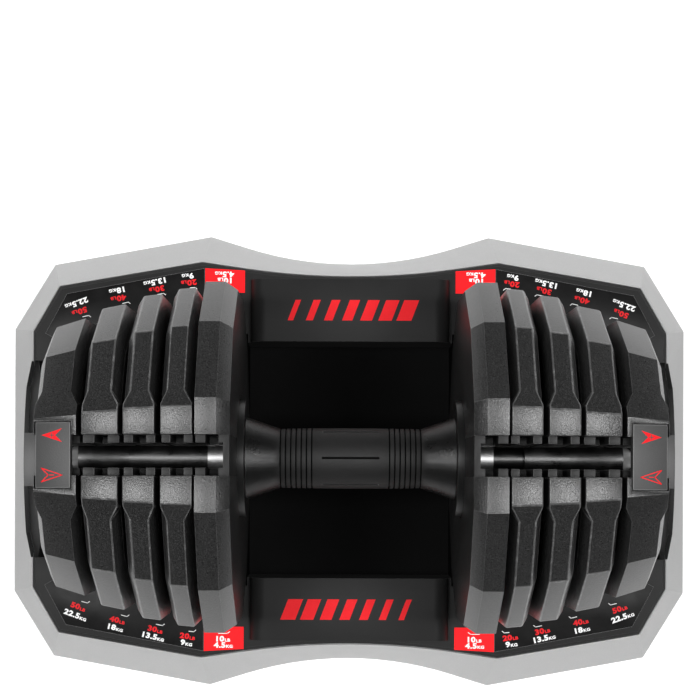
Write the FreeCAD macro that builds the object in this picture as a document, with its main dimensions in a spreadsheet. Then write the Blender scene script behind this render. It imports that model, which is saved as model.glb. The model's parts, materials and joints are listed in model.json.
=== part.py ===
import FreeCAD, Part
import math
import os
import re
import Sketcher

# Adjustable dumbbell on its storage tray.
#
# X runs along the handle, Y from front to back and Z up.  The origin is the middle of the tray's
# footprint, at floor level.  Everything that is lifted is drawn about the handle's axis and placed at
# its height; the left-hand copy of a piece is the right-hand one turned half a turn.
#
# Turning the grip turns the cam sleeve inside it.  Two helical grooves in the sleeve drive one follower
# pin each, and the pins pull the two selector bars in or push them out, 21 mm for each 60 degree step.
# Inside the guide tube the left bar's tongue, an upper half shell, passes over the right bar's rod.

PLATES = ("plate_20", "plate_30", "plate_40", "plate_50")
SIDES = ("right", "left")

DIMENSIONS = (
    ("axis_height", 116, "floor to the handle's axis"),
    # tray skirt: half outline at the floor and at the top, mirrored in X and Y
    ("foot_drop", 3, "height of the rubber feet"),
    ("skirt_top", 45, "top edge of the skirt"),
    ("skirt_wall", 3, "wall of the skirt"),
    ("flange_top", 6, "top of the flange the insert stands on"),
    ("flange_open_x", 160, "half length of the flange's opening"),
    ("flange_open_y", 80, "half width of the flange's opening"),
    ("floor_side_x", 223.7, "end face at the floor"),
    ("floor_side_y", 87.5, "half width of the end face at the floor"),
    ("floor_corner_x", 197.1, "corner at the floor"),
    ("floor_corner_y", 130.8, "corner at the floor"),
    ("floor_peak_x", 92.7, "widest point at the floor"),
    ("floor_peak_y", 149.8, "widest point at the floor"),
    ("floor_waist_y", 131.9, "half width of the waist at the floor"),
    ("floor_waist_bend", 231, "radius of the waist at the floor"),
    ("top_side_x", 204.5, "end face at the top"),
    ("top_side_y", 82.5, "half width of the end face at the top"),
    ("top_corner_x", 187.4, "corner at the top"),
    ("top_corner_y", 112.2, "corner at the top"),
    ("top_peak_x", 95.1, "widest point at the top"),
    ("top_peak_y", 128.2, "widest point at the top"),
    ("top_waist_y", 119.3, "half width of the waist at the top"),
    ("top_waist_bend", 473, "radius of the waist at the top"),
    ("waist_reach", 68.4, "half length of the waist's curve"),
    # tray insert
    ("insert_top", 50, "level of the label plane"),
    ("insert_gap", 1, "room between insert and skirt"),
    ("skirt_lip", 0.8, "thickness of the skirt's top edge"),
    ("lip_depth", 4, "depth over which the skirt thins to that edge"),
    ("rim_edge", 1.7, "insert's rim inside the skirt's outer edge"),
    ("rim_chamfer", 2, "bevel round the insert's rim"),
    ("panel_top", 60, "top of the front and back panels"),
    ("panel_half", 63.7, "half length of a panel's foot"),
    ("panel_flat_half", 53.5, "half length of a panel's flat top, between its rounded ends"),
    ("panel_inner_y", 75.2, "inner edge of a panel"),
    ("panel_outer_y", 115, "outer edge of a panel"),
    ("panel_wall", 3, "wall over the hollow under a panel"),
    ("bay_floor", 12, "floor of the middle bay"),
    ("well_gap", 0.6, "room round each weight in its well"),
    # finger notch in each end of the tray, with a tongue of the insert lying over the skirt
    ("notch_half", 63.2, "half width of the notch at its mouth"),
    ("notch_mouth", 43.5, "level where the ramps start"),
    ("notch_ramp_end", 47.4, "half width where the ramps end"),
    ("notch_ramp_foot", 31, "level where the ramps end"),
    ("notch_floor", 24.5, "level of the skirt's edge in the middle"),
    ("notch_sink", 20, "level of the insert in the notch"),
    ("tongue_half", 17.5, "half width of the tongue"),
    ("tongue_tip", 213, "outer end of the tongue"),
    ("tongue_root", 197, "inner end of the tongue"),
    ("tongue_top", 28, "top of the tongue"),
    ("tongue_under", 25.7, "underside of the tongue's lip"),
    # labels
    ("label_thick", 0.4, "thickness of a label"),
    ("label_start_x", 93.2, "joint between the black and the red label"),
    ("label_start_y", 122.6, "outer edge of the labels at that joint"),
    ("label_corner_x", 181.5, "label's outer corner"),
    ("label_corner_y", 106, "label's outer corner"),
    ("label_end_x", 195.2, "label's outer end"),
    ("label_end_y", 80.5, "label's outer end"),
    ("label_low_y", 72, "label's inner edge, outer half"),
    ("label_in_y", 86, "label's inner edge at the joint"),
    ("red_label_x", 67.5, "inner end of the red label"),
    ("red_label_outer_y", 121.2, "red label's outer edge at that end"),
    ("red_label_inner_y", 107, "red label's inner edge"),
    # feet and screws of the tray
    ("foot_x", 178, "foot's place"),
    ("foot_y", 96, "foot's place"),
    ("foot_radius", 10, "foot's radius"),
    ("tray_screw_x", 150, "tray screw's place"),
    ("tray_screw_y", 104, "tray screw's place"),
    ("tray_screw_radius", 2, "tray screw's shank"),
    ("tray_screw_reach", 20, "top of the tray screw"),
    # guide tube, cam sleeve, bars
    ("tube_radius", 12, "outside of the guide tube"),
    ("bar_radius", 10, "radius of a selector bar"),
    ("run_fit", 0.05, "radial clearance of a running fit"),
    ("free_fit", 0.3, "radial clearance where nothing should touch"),
    ("sleeve_fit", 0.08, "radial clearance of the cam sleeve"),
    ("sleeve_radius", 15, "outside of the cam sleeve"),
    ("sleeve_half", 72, "half length of the cam sleeve"),
    ("groove_radius", 14.2, "floor of the helical grooves"),
    ("groove_width", 8.4, "width of a groove along the axis"),
    ("groove_over", 10.5, "angle a groove runs on past its pin"),
    ("groove_room", 0.25, "room beside a pin in the groove's entry"),
    ("twist_angle", 240, "turn of the grip from one end to the other"),
    ("bar_travel", 84, "travel of a selector bar"),
    ("bar_reach", 169, "tip of the extended bar"),
    ("tip_length", 7, "length of the tapered bar tip"),
    ("tip_radius", 5, "radius at the point of the bar tip"),
    ("tip_spigot", 4, "radius of the tip's spigot"),
    ("lap_outer", 103.5, "outer end of the tongue"),
    ("lap_inner", 65.5, "inner end of the tongue"),
    ("lap_gap", 0.15, "radial gap between the two tongues"),
    ("rod_radius", 7, "radius of the right bar's tongue, a rod"),
    ("pin_place", 68.5, "follower pin with the bar extended"),
    ("pin_radius", 2, "radius of a follower pin"),
    ("pin_root", 4, "inner end of the right follower pin"),
    ("pin_root_left", 7.6, "inner end of the left follower pin"),
    ("pin_reach", 13.9, "outer end of a follower pin"),
    # grip
    ("grip_radius", 17.7, "radius of the grip"),
    ("grip_swell", 0.4, "barrel of the grip's middle"),
    ("grip_straight", 42, "half length of the straight grip"),
    ("grip_half", 62, "half length of the whole grip"),
    ("grip_flare", 24.6, "radius at the ends of the grip"),
    ("ring_first", 23, "place of the first ring groove"),
    ("ring_pitch", 3.1, "pitch of the ring grooves"),
    ("ring_width", 0.8, "width of a ring groove"),
    ("ring_depth", 1, "depth of a ring groove"),
    ("slot_half", 16.4, "half length of a grip slot, without its rounded ends"),
    ("slot_width", 1.4, "width of a grip slot"),
    ("slot_depth", 1.3, "depth of a grip slot"),
    # index rings
    ("index_radius", 35, "radius of an index ring"),
    ("index_start", 62.2, "face of an index ring"),
    ("index_web", 2.6, "thickness of its web"),
    ("index_cup", 6.4, "depth of its toothed rim"),
    ("index_inner", 31, "inside of its toothed rim"),
    ("notch_radius", 33.6, "bottom of an index notch"),
    ("notch_width", 6, "width of an index notch"),
    # heads
    ("head_inner", 66, "inner face of a head"),
    ("head_split", 73, "joint between the head's two covers"),
    ("head_outer", 84.7, "outer face of a head"),
    ("head_apothem", 102, "centre to flat of a head"),
    ("head_nose", 97.3, "centre to flat at the inner face"),
    ("head_flat", 31, "half width of a head's top flat"),
    ("head_nose_flat", 29, "half width of the flat at the inner face"),
    ("dish_radius", 35.7, "recess for the index ring"),
    ("dish_depth", 3.3, "depth of that recess"),
    ("sleeve_room", 15.3, "bore for the cam sleeve"),
    ("sleeve_room_end", 72.5, "end of that bore"),
    ("core_apothem", 92.7, "centre to flat of the iron in a head"),
    ("core_start", 70, "inner face of the iron"),
    ("core_end", 81.5, "outer face of the iron"),
    ("core_gap", 0.5, "room round the iron"),
    ("core_slot", 14.6, "half width of the iron's slot"),
    ("core_bore", 17.5, "radius of the iron's bore"),
    ("head_screw_out", 97.6, "head screws from the axis"),
    ("head_screw_radius", 1.5, "shank of a head screw"),
    ("head_screw_cap", 2.9, "radius of a screw head"),
    ("head_screw_start", 68, "point of a head screw"),
    ("head_screw_seat", 81.5, "underside of a screw head"),
    ("head_screw_end", 84, "top of a screw head"),
    # slots in heads and plates
    ("slot_opening", 11.2, "half width of the slots"),
    ("keyhole_radius", 14, "keyhole of a plate"),
    ("liner_fit", 0.05, "liner in its slot"),
    ("neck_half", 6.8, "half width between a liner's legs"),
    ("liner_drop", 5, "liner's top below the plate's top"),
    ("liner_short", 0.2, "liner's end below the plate's face"),
    ("liner_notch", 3.6, "half width of the notch in a liner's top"),
    ("liner_notch_depth", 30, "depth of that notch"),
    ("head_neck_start", 69.6, "inner end of the neck in the head"),
    # lock
    ("lock_place", 75.6, "lock plunger's axis"),
    ("lock_radius", 2.5, "radius of a lock plunger"),
    ("lock_top", 22, "top of a plunger below the axis"),
    ("lock_foot", 102.3, "foot of a plunger below the axis"),
    ("lock_travel", 3, "travel of a plunger"),
    ("tooth_top", 26, "top of the lock tooth below the axis"),
    ("tooth_foot", 30.6, "foot of the lock tooth below the axis"),
    ("tooth_half", 2.4, "half width of the lock tooth"),
    ("tooth_start", 65.8, "inner end of the lock tooth"),
    ("spring_seat", 55, "upper seat of a lock spring below the axis"),
    ("shoulder_top", 73, "upper face of the plunger's shoulder"),
    ("shoulder_thick", 2, "thickness of that shoulder"),
    ("shoulder_radius", 4.4, "radius of that shoulder"),
    ("spring_radius", 3.5, "mean radius of a lock spring"),
    ("spring_wire", 0.45, "radius of the spring's wire"),
    ("spring_turns", 5, "turns of a lock spring"),
    # plates: hub faces, rim edges, centre to flat at the inner and the outer face
    ("hub_half", 28, "half width of a plate's thick band"),
    ("hub_flare", 35.6, "where the band ends"),
    ("hub_foot", 25, "lower end of the thick band below the axis"),
    ("rim_bevel", 5, "depth of the bevel round a plate's outer face"),
    ("rim_slope", 12, "depth of the steeper bevel round its inner face"),
    ("rim_width", 15, "width of the rim round the recess in each face"),
    ("plate_20_hub_in", 86.2, ""), ("plate_20_hub_out", 103.5, ""),
    ("plate_20_thin_in", 90.8, ""), ("plate_20_thin_out", 100.4, ""),
    ("plate_20_big", 99.4, ""), ("plate_20_small", 97.9, ""),
    ("plate_30_hub_in", 107, ""), ("plate_30_hub_out", 124.5, ""),
    ("plate_30_thin_in", 110.5, ""), ("plate_30_thin_out", 121, ""),
    ("plate_30_big", 95.8, ""), ("plate_30_small", 93.7, ""),
    ("plate_40_hub_in", 127.5, ""), ("plate_40_hub_out", 148, ""),
    ("plate_40_thin_in", 132, ""), ("plate_40_thin_out", 145.7, ""),
    ("plate_40_big", 90.4, ""), ("plate_40_small", 86.4, ""),
    ("plate_50_hub_in", 151.5, ""), ("plate_50_hub_out", 176, ""),
    ("plate_50_thin_in", 155.8, ""), ("plate_50_thin_out", 172.8, ""),
    ("plate_50_big", 82.6, ""), ("plate_50_small", 75.1, ""),
    # end cap let into the outermost plate
    ("cap_inner", 154.7, "inner edge of an end cap"),
    ("cap_outer", 175, "outer edge of an end cap"),
    ("cap_half", 18.2, "half width of an end cap"),
    ("cap_thick", 8, "thickness of an end cap"),
    ("cap_gap", 0.4, "shadow gap round an end cap"),
)
ALIASES = {name for name, size, note in DIMENSIONS}
RINGS_PER_SIDE = 7
GRIP_SLOTS = 6
NOTCHES = 6

doc = FreeCAD.newDocument("adjustable_dumbbell")
sheet = doc.addObject("Spreadsheet::Sheet", "Dims")
for row, (name, size, note) in enumerate(DIMENSIONS, start=1):
    sheet.set("A%d" % row, name)
    sheet.set("B%d" % row, str(size))
    sheet.set("C%d" % row, note)
    sheet.setAlias("B%d" % row, name)
doc.recompute()
pieces = []


def cells(text):
    """An expression in plain dimension names, turned into one that reads the sheet."""
    def word(hit):
        return "Dims." + hit[0] if hit[0] in ALIASES else hit[0]

    return re.sub(r"[a-z_][a-z_0-9]*", word, text)


def size_of(text):
    """The present value of such an expression."""
    return float(sheet.evalExpression(cells(text).replace("Dims.", "")))


def bind(item, prop, text):
    item.setExpression(prop, cells(text))


def plane_of(body, role):
    return next(item for item in body.Origin.OriginFeatures if item.Role == role)


def new_body(name, side=None, turn_axis=(0, 0, 1), on_axis=True):
    """An empty body; on_axis bodies are drawn about the handle's axis, and left ones are turned over."""
    body = doc.addObject("PartDesign::Body", name)
    body.Label = name
    turn = 180 if side == "left" else 0
    body.Placement = FreeCAD.Placement(FreeCAD.Vector(), FreeCAD.Rotation(FreeCAD.Vector(*turn_axis), turn))
    if on_axis:
        bind(body, "Placement.Base.z", "axis_height")
    pieces.append(body)
    return body


def new_sketch(body, role, offset="0"):
    sketch = body.newObject("Sketcher::SketchObject", body.Name + "_sketch")
    sketch.AttachmentSupport = [(plane_of(body, role), "")]
    sketch.MapMode = "FlatFace"
    bind(sketch, "AttachmentOffset.Base.z", offset)
    return sketch


def fix_point(sketch, geometry, position, x, y):
    """Holds one point of the sketch at x, y, both given as expressions."""
    for kind, text in (("DistanceX", x), ("DistanceY", y)):
        if text is None:
            continue
        index = sketch.addConstraint(Sketcher.Constraint(kind, -1, 1, geometry, position, size_of(text)))
        if re.search("[a-z]", text):
            bind(sketch, "Constraints[%d]" % index, text)


def add_loop(sketch, points):
    """A closed loop.  A point is (x, y), reached by a straight line, or (x, y, turn, cx, cy), reached by
    an arc about the centre cx, cy that runs anticlockwise for turn 1 and clockwise for turn -1; the
    centre's coordinate that the ends already settle is left out of the constraints as None."""
    spots = [FreeCAD.Vector(size_of(point[0]), size_of(point[1]), 0) for point in points]
    ends = []
    for number, point in enumerate(points):
        start, end = spots[number - 1], spots[number]
        if len(point) == 2:
            ends.append((sketch.addGeometry(Part.LineSegment(start, end), False), 1, 2))
            continue
        turn, centre_x, centre_y = point[2:]
        centre = FreeCAD.Vector(size_of(centre_x[1]), size_of(centre_y[1]), 0)
        angles = [math.atan2(spot.y - centre.y, spot.x - centre.x) for spot in (start, end)]
        circle = Part.Circle(centre, FreeCAD.Vector(0, 0, 1), start.distanceToPoint(centre))
        arc = Part.ArcOfCircle(circle, *(angles if turn > 0 else reversed(angles)))
        ends.append((sketch.addGeometry(arc, False),) + ((1, 2) if turn > 0 else (2, 1)))
    for number, (geometry, start, end) in enumerate(ends):
        following, following_start, following_end = ends[(number + 1) % len(ends)]
        sketch.addConstraint(Sketcher.Constraint("Coincident", geometry, end, following, following_start))
    for (geometry, start, end), point in zip(ends, points):
        fix_point(sketch, geometry, end, point[0], point[1])
        if len(point) > 2:
            held = [text if keep else None for keep, text in point[3:]]
            fix_point(sketch, geometry, 3, *held)


def add_circle(sketch, x, y, radius):
    circle = Part.Circle(FreeCAD.Vector(size_of(x), size_of(y), 0), FreeCAD.Vector(0, 0, 1), size_of(radius))
    geometry = sketch.addGeometry(circle, False)
    fix_point(sketch, geometry, 3, x, y)
    index = sketch.addConstraint(Sketcher.Constraint("Radius", geometry, size_of(radius)))
    bind(sketch, "Constraints[%d]" % index, radius)


def add_box(sketch, left, right, low, high):
    add_loop(sketch, [(left, low), (right, low), (right, high), (left, high)])


def feature(body, kind, sketch, size, both_ways=False, backwards=False):
    """A pad or a pocket of the given length."""
    made = body.newObject("PartDesign::" + kind, body.Name + "_" + kind.lower())
    made.Profile = sketch
    bind(made, "Length", size)
    made.Midplane = both_ways
    made.Reversed = backwards
    body.Tip = made
    return made


def turned(body, sketch, kind="Revolution", axis="X_Axis"):
    made = body.newObject("PartDesign::" + kind, body.Name + "_turned")
    made.Profile = sketch
    made.ReferenceAxis = (plane_of(body, axis), [""])
    made.Angle = 360
    body.Tip = made
    return made


def loft(body, sketches, kind="AdditiveLoft"):
    made = body.newObject("PartDesign::" + kind, body.Name + "_loft")
    made.Profile = sketches[0]
    made.Sections = sketches[1:]
    made.Ruled = True
    body.Tip = made
    return made


def mirror(body, originals, role):
    made = body.newObject("PartDesign::Mirrored", body.Name + "_mirror")
    made.Originals = originals
    made.MirrorPlane = (plane_of(body, role), [""])
    body.Tip = made
    return made


def chamfer(body, size, wanted):
    """A chamfer of the body's present edges for which wanted(edge) holds."""
    doc.recompute()
    base = body.Tip
    names = ["Edge%d" % number for number, edge in enumerate(base.Shape.Edges, start=1) if wanted(edge)]
    made = body.newObject("PartDesign::Chamfer", body.Name + "_chamfer")
    made.Base = (base, names)
    bind(made, "Size", size)
    body.Tip = made
    return made


def minus(text):
    return "-(%s)" % text


# ---------------------------------------------------------------- outlines

def tray_outline(level, inset):
    """The tray's outline at the floor or the top, moved inwards by inset."""
    side_x, side_y = "%s_side_x - %s" % (level, inset), "%s_side_y - %s * 0.3" % (level, inset)
    corner_x, corner_y = "%s_corner_x - %s * 0.7" % (level, inset), "%s_corner_y - %s * 0.8" % (level, inset)
    peak_x, peak_y = "%s_peak_x" % level, "%s_peak_y - %s" % (level, inset)
    waist_y = "%s_waist_y - %s" % (level, inset)
    bend = "%s_waist_bend" % level
    sag = "(%s - sqrt(%s ^ 2 - waist_reach ^ 2))" % (bend, bend)
    end_y = "%s + %s" % (waist_y, sag)
    centre_y = "%s + %s" % (waist_y, bend)
    quarter = [(side_x, side_y), (corner_x, corner_y), (peak_x, peak_y), ("waist_reach", end_y)]
    back = quarter + [(minus("waist_reach"), end_y, -1, (False, "0"), (True, centre_y))]
    back += [(minus(x), y) for x, y in reversed(quarter[:3])]
    front = [(minus(x), minus(y)) for x, y in quarter]
    front += [("waist_reach", minus(end_y), -1, (False, "0"), (True, minus(centre_y)))]
    front += [(x, minus(y)) for x, y in reversed(quarter[:3])]
    return back + front


def twelve_sided(apothem, flat=None):
    """A flat-topped twelve-sided outline about the axis, in Y and Z."""
    flat = flat or "(%s) * tan(15)" % apothem
    knee = "(%s) * cos(45) / cos(15)" % apothem
    quarter = [(apothem, flat), (knee, knee), (flat, apothem)]
    second = [(minus(y), z) for y, z in reversed(quarter)]
    third = [(minus(y), minus(z)) for y, z in quarter]
    fourth = [(y, minus(z)) for y, z in reversed(quarter)]
    return quarter + second + third + fourth


def keyhole(half, radius, top):
    """A slot open at the top that ends in a round hole about the axis."""
    shoulder = "sqrt((%s) ^ 2 - (%s) ^ 2)" % (radius, half)
    return [(half, top), (minus(half), top), (minus(half), shoulder),
            (half, shoulder, 1, (False, "0"), (True, "0"))]


def end_notch(mouth):
    """The notch across an end of the tray, from the side: two ramps and a shallow arc between them."""
    sag = "(notch_ramp_foot - notch_floor)"
    bend = "((notch_ramp_end ^ 2 + %s ^ 2) / (2 * %s))" % (sag, sag)
    return [("notch_half", mouth), ("-notch_half", mouth), ("-notch_half", "notch_mouth"),
            ("-notch_ramp_end", "notch_ramp_foot"),
            ("notch_ramp_end", "notch_ramp_foot", 1, (False, "0"), (True, "notch_floor + " + bend)),
            ("notch_half", "notch_mouth")]


def core_outline(gap):
    """The iron in a head, or its room: twelve-sided, with a keyhole let into it from the top."""
    apothem, half, radius = "core_apothem + " + gap, "(core_slot - %s)" % gap, "(core_bore - %s)" % gap
    shoulder = "sqrt(%s ^ 2 - %s ^ 2)" % (radius, half)
    around = twelve_sided(apothem)
    left, right = around[3:], around[:3]
    return [(minus(half), apothem)] + left + right + [
        (half, apothem), (half, shoulder), (minus(half), shoulder, -1, (False, "0"), (True, "0"))]


def side_sketch(body, offset, points):
    sketch = new_sketch(body, "YZ_Plane", offset)
    add_loop(sketch, points)
    return sketch


def tray_sketch(body, offset, level, inset):
    sketch = new_sketch(body, "XY_Plane", offset)
    add_loop(sketch, tray_outline(level, inset))
    return sketch


# ---------------------------------------------------------------- tray

def tray_skirt():
    body = new_body("tray_skirt", on_axis=False)
    outer = [tray_sketch(body, "foot_drop", "floor", "0"), tray_sketch(body, "skirt_top", "top", "0")]
    loft(body, outer)
    inner = [tray_sketch(body, "foot_drop", "floor", "skirt_wall"),
             tray_sketch(body, "skirt_top", "top", "skirt_wall")]
    loft(body, inner, "SubtractiveLoft")
    flange = tray_sketch(body, "foot_drop", "floor", "skirt_wall * 0.8")
    add_box(flange, "-flange_open_x", "flange_open_x", "-flange_open_y", "flange_open_y")
    feature(body, "Pad", flange, "flange_top - foot_drop")
    rebate = tray_sketch(body, "skirt_top - lip_depth", "top", "skirt_lip")
    feature(body, "Pocket", rebate, "lip_depth + 1", backwards=True)
    notch = side_sketch(body, "0", end_notch("skirt_top + 1"))
    feature(body, "Pocket", notch, "3 * floor_side_x", both_ways=True)
    holes = new_sketch(body, "XY_Plane")
    for x, y in four_ways("tray_screw_x", "tray_screw_y"):
        add_circle(holes, x, y, "tray_screw_radius + run_fit")
    feature(body, "Pocket", holes, "2 * flange_top", both_ways=True)
    return body


def four_ways(x, y):
    return [(x, y), (minus(x), y), (minus(x), minus(y)), (x, minus(y))]


def well_sections():
    """Start, end and outline of the well of each weight on the right."""
    head = twelve_sided("head_apothem + well_gap", "head_flat + well_gap")
    sections = [("head_inner", "head_outer", head)]
    for plate in PLATES:
        sections.append((plate + "_hub_in", plate + "_hub_out", twelve_sided(plate + "_big + well_gap")))
    return sections


def tray_insert():
    body = new_body("tray_insert", on_axis=False)
    foot = tray_sketch(body, "flange_top", "top", "(skirt_wall + insert_gap)")
    feature(body, "Pad", foot, "skirt_top - flange_top")
    feature(body, "Pad", tray_sketch(body, "skirt_top", "top", "rim_edge"), "insert_top - skirt_top")
    top = size_of("insert_top")
    chamfer(body, "rim_chamfer", lambda edge: (
        abs(edge.Vertexes[0].Z - top) < 0.01 and abs(edge.Vertexes[-1].Z - top) < 0.01))
    panel = new_sketch(body, "XZ_Plane", minus("(panel_inner_y + panel_outer_y) / 2"))
    run, rise = "(panel_half - panel_flat_half)", "(panel_top - insert_top)"
    centre_z = "panel_top - (%s ^ 2 + %s ^ 2) / (2 * %s)" % (run, rise, rise)
    add_loop(panel, [
        ("panel_half", "insert_top - 1"), ("panel_half", "insert_top"),
        ("panel_flat_half", "panel_top", 1, (True, "panel_flat_half"), (False, centre_z)),
        ("-panel_flat_half", "panel_top"),
        ("-panel_half", "insert_top", 1, (True, "-panel_flat_half"), (False, centre_z)),
        ("-panel_half", "insert_top - 1")])
    raised = feature(body, "Pad", panel, "panel_outer_y - panel_inner_y", both_ways=True)
    mirror(body, [raised], "XZ_Plane")
    bay = new_sketch(body, "XY_Plane", "bay_floor")
    add_box(bay, "-head_inner", "head_inner", "-panel_inner_y", "panel_inner_y")
    feature(body, "Pocket", bay, "insert_top", backwards=True)
    cuts = []
    for start, end, points in well_sections():
        sketch = side_sketch(body, "%s - well_gap" % start, [(y, "%s + axis_height" % z) for y, z in points])
        cuts.append(feature(body, "Pocket", sketch, "%s - %s + 2 * well_gap" % (end, start), backwards=True))
    notch = side_sketch(body, "plate_50_hub_in", end_notch("insert_top + 1"))
    cuts.append(feature(body, "Pocket", notch, "floor_side_x", backwards=True))
    sink = new_sketch(body, "XY_Plane", "notch_sink")
    add_box(sink, "plate_50_hub_in", "floor_side_x", "-notch_ramp_end", "notch_ramp_end")
    cuts.append(feature(body, "Pocket", sink, "insert_top", backwards=True))
    mirror(body, cuts, "YZ_Plane")
    tongue = new_sketch(body, "XZ_Plane")
    end = "top_side_x - skirt_wall - insert_gap"
    add_loop(tongue, [
        ("tongue_root", "notch_sink - 1"), (end, "notch_sink - 1"), (end, "tongue_under"),
        ("tongue_tip", "tongue_under"), ("tongue_tip", "tongue_top"), ("tongue_root", "tongue_top")])
    mirror(body, [feature(body, "Pad", tongue, "2 * tongue_half", both_ways=True)], "YZ_Plane")
    under = new_sketch(body, "XY_Plane", "flange_top")
    for sign in ("", "-"):
        add_box(under, "-panel_flat_half", "panel_flat_half", "%s(panel_inner_y + panel_wall)" % sign,
                "%s(panel_outer_y - panel_wall)" % sign)
    feature(body, "Pocket", under, "panel_top - panel_wall - flange_top", backwards=True)
    holes = new_sketch(body, "XY_Plane", "flange_top")
    for x, y in four_ways("tray_screw_x", "tray_screw_y"):
        add_circle(holes, x, y, "tray_screw_radius + run_fit")
    feature(body, "Pocket", holes, "tray_screw_reach - flange_top", backwards=True)
    return body


def tray_feet():
    body = new_body("tray_feet", on_axis=False)
    sketch = new_sketch(body, "XY_Plane")
    for x, y in four_ways("foot_x", "foot_y"):
        add_circle(sketch, x, y, "foot_radius")
    feature(body, "Pad", sketch, "foot_drop")
    body.AllowCompound = True
    return body


def tray_screws():
    body = new_body("tray_screws", on_axis=False)
    body.AllowCompound = True
    for start, length, radius in (("foot_drop - 2", "2", "tray_screw_radius * 2"),
                                  ("foot_drop", "tray_screw_reach - foot_drop", "tray_screw_radius")):
        sketch = new_sketch(body, "XY_Plane", start)
        for x, y in four_ways("tray_screw_x", "tray_screw_y"):
            add_circle(sketch, x, y, radius)
        feature(body, "Pad", sketch, length)
    return body


def weight_label(name, sign_x, sign_y):
    body = new_body(name, on_axis=False)
    sketch = new_sketch(body, "XY_Plane", "insert_top")
    corners = [
        ("label_start_x", "label_start_y"), ("label_corner_x", "label_corner_y"),
        ("label_end_x", "label_end_y"), ("plate_50_hub_out + 3", "label_low_y"),
        ("plate_50_hub_in", "label_low_y"), ("label_start_x", "label_in_y")]
    add_loop(sketch, [(sign_x + "(%s)" % x, sign_y + "(%s)" % y) for x, y in corners])
    feature(body, "Pad", sketch, "label_thick")
    return body


def start_labels():
    body = new_body("start_labels", on_axis=False)
    body.AllowCompound = True
    sketch = new_sketch(body, "XY_Plane", "insert_top")
    gap = "label_start_x - 0.3"
    for sign_x, sign_y in (("", ""), ("-", ""), ("-", "-"), ("", "-")):
        corners = [(gap, "label_start_y"), (gap, "red_label_inner_y"), ("red_label_x", "red_label_inner_y"),
                   ("red_label_x", "red_label_outer_y")]
        add_loop(sketch, [(sign_x + "(%s)" % x, sign_y + "(%s)" % y) for x, y in corners])
    feature(body, "Pad", sketch, "label_thick")
    return body


# ---------------------------------------------------------------- handle

def tube(name, half, outside, inside):
    body = new_body(name)
    sketch = new_sketch(body, "YZ_Plane")
    add_circle(sketch, "0", "0", outside)
    add_circle(sketch, "0", "0", inside)
    feature(body, "Pad", sketch, "2 * (%s)" % half, both_ways=True)
    return body


def guide_tube():
    body = tube("guide_tube", "head_outer", "tube_radius", "bar_radius + run_fit")
    far, near = "pin_place + pin_radius + 0.4", "bar_travel - pin_place + pin_radius + 0.4"
    for offset, left, right in (("0", minus(far), near), (minus("tube_radius + 1"), minus(near), far)):
        sketch = new_sketch(body, "XY_Plane", offset)
        add_box(sketch, left, right, minus("pin_radius + 0.15"), "pin_radius + 0.15")
        feature(body, "Pocket", sketch, "tube_radius + 1", backwards=True)
    return body


def cam_sleeve():
    """Each groove starts as a straight entry from the sleeve's end and then follows its pin: 240 degrees
    of turn for the bar's whole travel."""
    body = tube("cam_sleeve", "sleeve_half", "sleeve_radius", "tube_radius + sleeve_fit")
    room = "(pin_radius + groove_room)"
    for side, sign, below in (("right", "", "-"), ("left", "-", "")):
        entry = new_sketch(body, "XY_Plane", below + "groove_radius")
        mouth = sorted((sign + "(pin_place - 2 * %s)" % room, sign + "(sleeve_half + 1)"), key=size_of)
        add_box(entry, mouth[0], mouth[1], minus(room), room)
        feature(body, "Pocket", entry, "groove_radius - tube_radius + 1", backwards=side == "right")
        sketch = new_sketch(body, "XZ_Plane")
        add_box(sketch, "%spin_place - groove_width / 2" % sign, "%spin_place + groove_width / 2" % sign,
                below + "(tube_radius - 0.5)", below + "groove_radius")
        cut = body.newObject("PartDesign::SubtractiveHelix", "cam_sleeve_groove_" + side)
        cut.Profile = sketch
        cut.ReferenceAxis = (plane_of(body, "X_Axis"), [""])
        cut.Mode = "pitch-height-angle"
        bind(cut, "Pitch", "bar_travel * 360 / twist_angle")
        bind(cut, "Height", "bar_travel * (1 + groove_over / twist_angle)")
        cut.LeftHanded = side == "left"
        cut.Reversed = side == "right"
        body.Tip = cut
    return body


def grip_sleeve():
    body = new_body("grip_sleeve")
    profile = new_sketch(body, "XY_Plane")
    swell = "((grip_straight ^ 2 + grip_swell ^ 2) / (2 * grip_swell))"
    add_loop(profile, [
        ("grip_half", "sleeve_radius"), ("grip_half", "grip_flare"), ("grip_straight", "grip_radius"),
        ("-grip_straight", "grip_radius", 1, (False, "0"), (True, "grip_radius + grip_swell - " + swell)),
        ("-grip_half", "grip_flare"), ("-grip_half", "sleeve_radius")])
    turned(body, profile)
    rings = new_sketch(body, "XY_Plane")
    for number in range(RINGS_PER_SIDE):
        for sign in ("", "-"):
            middle = "%s(ring_first + %d * ring_pitch)" % (sign, number)
            add_box(rings, middle + " - ring_width / 2", middle + " + ring_width / 2",
                    "grip_radius - ring_depth", "grip_radius + grip_swell + 1")
    turned(body, rings, "Groove")
    slot = new_sketch(body, "XY_Plane", "grip_radius + grip_swell - slot_depth")
    near, far = "-slot_width / 2", "slot_width / 2"
    add_loop(slot, [
        ("-slot_half", near, 1, (True, "-slot_half"), (False, "0")), ("slot_half", near),
        ("slot_half", far, 1, (True, "slot_half"), (False, "0")), ("-slot_half", far)])
    cut = feature(body, "Pocket", slot, "slot_depth + 1", backwards=True)
    ring = body.newObject("PartDesign::PolarPattern", "grip_sleeve_slots")
    ring.Originals = [cut]
    ring.Axis = (plane_of(body, "X_Axis"), [""])
    ring.Angle = 360
    ring.Occurrences = GRIP_SLOTS
    body.Tip = ring
    return body


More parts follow.
